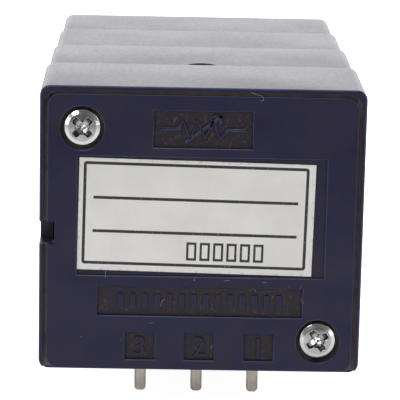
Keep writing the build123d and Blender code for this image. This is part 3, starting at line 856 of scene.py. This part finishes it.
def from_curve(name, curve, matrix):
    """A curve data block as a mesh object, with its place in its mesh."""
    made = kept_mesh(name, show(name + "_holder", curve))
    made.data.transform(matrix)
    return made


def sharpen(piece):
    """Merges doubles and turns all faces outwards."""
    bm = bmesh.new()
    bm.from_mesh(piece.data)
    bmesh.ops.remove_doubles(bm, verts=bm.verts, dist=1e-6)
    bmesh.ops.recalc_face_normals(bm, faces=bm.faces)
    bm.to_mesh(piece.data)
    bm.free()


def moulded_on(piece):
    """Finishes a raised mark: the housings' plastic, outward faces and the case's motion."""
    sharpen(piece)
    piece.data.materials.clear()
    piece.data.materials.append(navy)
    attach(piece, "case")
    print(piece.name, "faces:", len(piece.data.polygons))


# %% Terminal numbers
NUMBER_V = BOTTOM + (1.0 + 2.35 / 2) * MM
NUMBER_TALL = 1.75 * MM
FIGURE_SHARE = 0.73          # a figure's height in a font of size 1
for number, u in ((3, -PIN_PITCH), (2, 0.0), (1, PIN_PITCH)):
    text = bpy.data.curves.new(f"number_{number}", "FONT")
    text.body = str(number)
    text.size = NUMBER_TALL / FIGURE_SHARE
    text.align_x = "CENTER"
    text.extrude = MARK_HIGH / 2
    text.bevel_depth = 0.02 * MM
    text.bevel_resolution = 1
    text.resolution_u = 6
    text.materials.append(navy)
    lift = Matrix.Translation((0, 0, MARK_HIGH / 2))
    drawn = from_curve(f"number_{number}", text, onto_panel(u, NUMBER_V - NUMBER_TALL / 2) @ lift)
    moulded_on(drawn)


# %% Ribbons: a flat bar that follows a path, by a node tree
def ribbon_tree(material):
    tree, start, sockets = start_tree("ribbon", ("Width", "High"), mesh_in=True)
    path = node(tree, "GeometryNodeMeshToCurve", {"Mesh": start["Geometry"]}).outputs[0]
    flat = node(tree, "GeometryNodeSetCurveNormal", {"Curve": path}, mode="Z_UP").outputs[0]
    section = node(tree, "GeometryNodeCurvePrimitiveQuadrilateral", {
        "Width": start["Width"], "Height": start["High"]}).outputs[0]
    swept = node(tree, "GeometryNodeCurveToMesh", {
        "Curve": flat, "Profile Curve": section, "Fill Caps": True}).outputs[0]
    end_tree(tree, swept, material)
    return tree, sockets


def ribbon(name, points, width):
    """A raised flat line through points of the page."""
    mesh = bpy.data.meshes.new(name)
    steps = [(i, i + 1) for i in range(len(points) - 1)]
    mesh.from_pydata([(x * MM, y * MM, MARK_HIGH / 2) for x, y in points], steps, [])
    made = grown(name, *ribbon_maker, {"Width": width, "High": MARK_HIGH}, mesh)
    made.data.transform(onto_panel(0, BADGE_V))
    return made


# %% The symbol: a zigzag with an arrow across it
BADGE_V = TOP - (1.95 + 3.1 / 2) * MM
LEAD = 3.5                   # half the symbol's length, in millimetres as all of the drawing is
STEP = 0.62
TALL = 0.72
ribbon_maker = ribbon_tree(navy)
zigzag = [(-LEAD, 0), (-3.25 * STEP, 0)]
zigzag += [((i - 2.75) * STEP, TALL if i % 2 == 0 else -TALL) for i in range(6)]
zigzag += [(3.25 * STEP - 0.001, 0), (LEAD, 0)]
symbol = [
    ribbon("zigzag", zigzag, 0.3 * MM),
    ribbon("arrow", [(-1.5, -1.15), (1.5, 1.15)], 0.28 * MM),
    ribbon("barb", [(0.85, 1.15), (1.5, 1.15), (1.42, 0.5)], 0.28 * MM),
]
moulded_on(joined("resistor_symbol", symbol))

# %% Bars: one small bevelled bar, repeated along the strip by a node tree
STRIP_V = TOP - (16.9 + 2.5 / 2) * MM


def bars_tree(material):
    tree, start, sockets = start_tree("bars", ("Count", "Pitch", "Width", "Tall", "High"))
    step = node(tree, "ShaderNodeCombineXYZ", {"X": start["Pitch"]}).outputs[0]
    row = node(tree, "GeometryNodeMeshLine", {"Count": start["Count"], "Offset": step}).outputs[0]
    size = node(tree, "ShaderNodeCombineXYZ", {
        "X": start["Width"], "Y": start["Tall"], "Z": start["High"]}).outputs[0]
    bar = node(tree, "GeometryNodeMeshCube", {"Size": size}).outputs[0]
    copies = node(tree, "GeometryNodeInstanceOnPoints", {"Points": row, "Instance": bar}).outputs[0]
    end_tree(tree, copies, material)
    return tree, sockets


BARS = 14
BAR_PITCH = 1.02 * MM
bars = grown("raised_bars", *bars_tree(navy), {
    "Count": BARS, "Pitch": BAR_PITCH, "Width": 0.42 * MM, "Tall": 1.25 * MM, "High": MARK_HIGH})
centred = Matrix.Translation((-(BARS - 1) * BAR_PITCH / 2, 0, MARK_HIGH / 2))
bars.data.transform(onto_panel(0, STRIP_V) @ centred)
bevel = bars.modifiers.new("soften", "BEVEL")
bevel.width = 0.04 * MM
bevel.segments = 2
moulded_on(bars)

# %% [markdown]
# # Lint and dust
#
# The part has lain about, and its rear panel holds what a close look always finds: short pale
# fibres, thicker along the label's lower edge and in the sunk fields, and one long curled hair at
# the top. Some lie where random numbers with a fixed seed put them, and the ones that show most
# are placed one by one. Each fibre is a fine tube along a smooth curve. They stay thin and sparse,
# because lint should be found, not seen.

# %% Material of the lint
LINT_DARK = (0.24, 0.2, 0.18)
LINT_PALE = (0.55, 0.5, 0.47)
lint_material, tree, shader = finish("lint")
cloud = noise(tree, place(tree)[0], 0.3 * MM)
coat(tree, shader, blend_colour(tree, cloud, LINT_DARK, LINT_PALE))
settle(shader, Roughness=0.8)


# %% One fibre: a fine tube along a smooth curve
def fibre(points, width):
    curve = bpy.data.curves.new("fibre", "CURVE")
    curve.dimensions = "3D"
    curve.resolution_u = 6
    spline = curve.splines.new("NURBS")
    spline.points.add(len(points) - 1)
    for point, co in zip(spline.points, points):
        point.co = (*co, 1)
    spline.order_u = 3
    spline.use_endpoint_u = True
    curve.bevel_depth = width / 2
    curve.bevel_resolution = 1
    curve.use_fill_caps = True
    return curve


strands = []


def strand(u, v, long, turn, bend, width, floor):
    """One fibre lying at (u, v), bent sideways by `bend` of its length."""
    points = []
    for i in range(4):
        t = i / 3 - 0.5
        side = bend * long * (0.25 - t * t) * 2
        points.append((t * long * math.cos(turn) - side * math.sin(turn),
                       t * long * math.sin(turn) + side * math.cos(turn),
                       width * (0.5 + 0.4 * (i % 2))))
    strands.append(from_curve("strand", fibre(points, width), onto_panel(u, v, floor)))


def in_field(u, v):
    """True inside one of the sunk fields, where the floor is lower."""
    strip = abs(u) < 8.4 * MM and abs(v - STRIP_V) < 1.1 * MM
    badge = abs(u) < 3.9 * MM and abs(v - BADGE_V) < 1.4 * MM
    return strip or badge


# %% Scattered fibres
draw = random.Random(7)
for i in range(16):
    u = draw.uniform(-11.5, 11.5) * MM
    v = draw.choice([draw.uniform(-11, 11.5) * MM, label_low.z - draw.uniform(0.1, 2.2) * MM])
    over_label = label_low.z < v < label_high.z and abs(u) < 10.2 * MM
    if over_label:
        continue
    floor = RECESS_FLOOR if in_field(u, v) else FACE
    strand(u, v, draw.uniform(0.15, 0.45) * MM, draw.uniform(0, math.pi), draw.uniform(-0.5, 0.5),
           draw.uniform(0.012, 0.02) * MM, floor)

# %% Fibres placed one by one, in millimetres: under the label's edge, in the strip, and a curled hair
UNDER_LABEL = ((-7.9, -3.45, 0.62, 1.55), (-0.45, -3.75, 0.35, 1.3), (2.2, -3.85, 0.5, 0.15),
               (5.4, -3.95, 0.4, 0.1))
HAIR = ((3.85, 12.13), (4.05, 12.08), (4.3, 11.92), (4.62, 11.9), (4.88, 11.72), (4.9, 11.48),
        (4.72, 11.36), (4.62, 11.5))
HAIR_LIFT = 0.02 * MM
for u, v, long, turn in UNDER_LABEL:
    strand(u * MM, v * MM, long * MM, turn, 0.15, 0.026 * MM, FACE - 0.02 * MM)
strand(-3.1 * MM, -5.9 * MM, 0.75 * MM, 1.15, 0.35, 0.03 * MM, RECESS_FLOOR + 0.1 * MM)
strand(8.6 * MM, -5.5 * MM, 0.5 * MM, 2.1, 0.2, 0.02 * MM, FACE)
hair = fibre([(x * MM, y * MM, HAIR_LIFT) for x, y in HAIR], 0.024 * MM)
strands.append(from_curve("hair", hair, onto_panel(0, 0, FACE)))
for piece in strands:
    piece.data.materials.clear()
print("fibres:", len(strands))
lint = joined("lint", strands)
sharpen(lint)
lint.data.materials.clear()
lint.data.materials.append(lint_material)
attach(lint, "case")

# %% [markdown]
# # Floor, light and camera
#
# The part stands on its terminals on a light table: a wide white floor that also glows a little,
# so that the shadow under a small part stays soft. The room around it is a smooth gradient. It is
# bright behind the part, which is what the top mirrors at a grazing angle, and dim on the
# camera's side, which keeps the rear face deep and gives the screws something dark to mirror. For
# the same reason the table's white ends a little in front of the part, except to the camera.


# %% The light table
TABLE_GLOW = 0.1             # how much the table lights the part
TABLE_SEEN = 0.78            # added where the table itself is seen
TABLE_NEAR = 0.02            # the bright part ends between these, behind the rear face
TABLE_FAR = 0.15
TABLE_DIM = 0.45


def light_table():
    material, tree, shader = finish("table_white")
    settle(shader, Roughness=0.9, Specular_IOR_Level=0.1, Emission_Color=(1, 1, 1, 1))
    seen = node(tree, "ShaderNodeLightPath").outputs["Is Camera Ray"]
    glow = maths(tree, "MULTIPLY_ADD", seen, TABLE_SEEN, TABLE_GLOW)
    tree.links.new(glow, shader.inputs["Emission Strength"])
    y = place(tree)[2]
    near = ramp(tree, y, FACE + TABLE_NEAR, FACE + TABLE_FAR, 1.0, TABLE_DIM)
    coat(tree, shader, blend_colour(tree, either(tree, near, seen), (0.0, 0.0, 0.0), (0.9, 0.9, 0.9)))
    bm = bmesh.new()
    bmesh.ops.create_circle(bm, cap_ends=True, segments=96, radius=6.0,
                            matrix=Matrix.Translation((0, 0, FLOOR)))
    mesh = mesh_of("light_table", bm)
    mesh.materials.append(material)
    return show("light_table", mesh)


light_table()
print("table at", round(FLOOR / MM, 2), "mm")


# %% Lamps
def lamp(name, place, aim, width, height, power):
    """A soft rectangular panel that looks at a point."""
    data = bpy.data.lights.new(name, "AREA")
    data.shape = "RECTANGLE"
    data.size = width
    data.size_y = height
    data.energy = power
    made = show(name, data)
    made.location = place
    made.rotation_euler = (Vector(aim) - Vector(place)).to_track_quat("-Z", "Y").to_euler()
    print(name, "watts:", power)


middle = (Vector(cad_low) + Vector(cad_high)) / 2
lamp("overhead", (0.1, 0.1, 0.8), middle, 0.5, 0.5, 2.0)
lamp("key", (0.35, 0.75, 0.5), middle, 0.22, 0.22, 1.6)
lamp("strip_left", (0.6, 0.62, 0.12), middle, 0.25, 0.6, 1.3)
lamp("strip_right", (-0.6, 0.62, 0.12), middle, 0.25, 0.6, 1.3)

# %% The room: bright behind the part, dim on the camera's side
ROOM_BACK = 2.2
ROOM_FRONT = 0.2
ROOM_SEEN = 1.15
world = bpy.data.worlds.new("room")
world.use_nodes = True
tree = world.node_tree
backdrop = tree.nodes["Background"]
outward = node(tree, "ShaderNodeTexCoord").outputs["Generated"]
direction = node(tree, "ShaderNodeSeparateXYZ", {"Vector": outward})
glow = ramp(tree, direction.outputs["Y"], -0.45, 0.35, ROOM_BACK, ROOM_FRONT)
glow = maths(tree, "MULTIPLY", glow, ramp(tree, direction.outputs["Z"], 0.3, 0.7, 1.0, 0.4))
seen = node(tree, "ShaderNodeLightPath").outputs["Is Camera Ray"]
strength = maths(tree, "MAXIMUM", glow, maths(tree, "MULTIPLY", seen, ROOM_SEEN))
tree.links.new(strength, backdrop.inputs["Strength"])
backdrop.inputs["Color"].default_value = (1, 1, 1, 1)
bpy.context.scene.world = world
bpy.context.scene.view_settings.view_transform = "Standard"

# %% Camera
CAMERA_SIDE = 3.30 * MM
CAMERA_BACK = 171.1 * MM
CAMERA_UP = 38.1 * MM
LOOK_DOWN = math.radians(11.68)
LOOK_ASIDE = math.radians(1.05)
LEAN = math.radians(1.21)
LENS = 189.5
camera_data = bpy.data.cameras.new("camera")
camera_data.lens = LENS
camera_data.sensor_width = 36.0
camera_data.clip_start = 0.01
camera = show("camera", camera_data)
level = math.cos(LOOK_DOWN)
forward = Vector((-math.sin(LOOK_ASIDE) * level, -math.cos(LOOK_ASIDE) * level, -math.sin(LOOK_DOWN)))
right = forward.cross(Vector((0, 0, 1))).normalized()
up = right.cross(forward)
lean = Matrix.Rotation(-LEAN, 3, forward)
right, up = lean @ right, lean @ up
spot = REAR_MIDDLE + Vector((CAMERA_SIDE, CAMERA_BACK, CAMERA_UP))
axes = Matrix((right, up, -forward)).transposed()
camera.matrix_world = Matrix.Translation(spot) @ axes.to_4x4()
bpy.context.scene.camera = camera
print("camera at", [round(v / MM, 1) for v in spot], "mm")
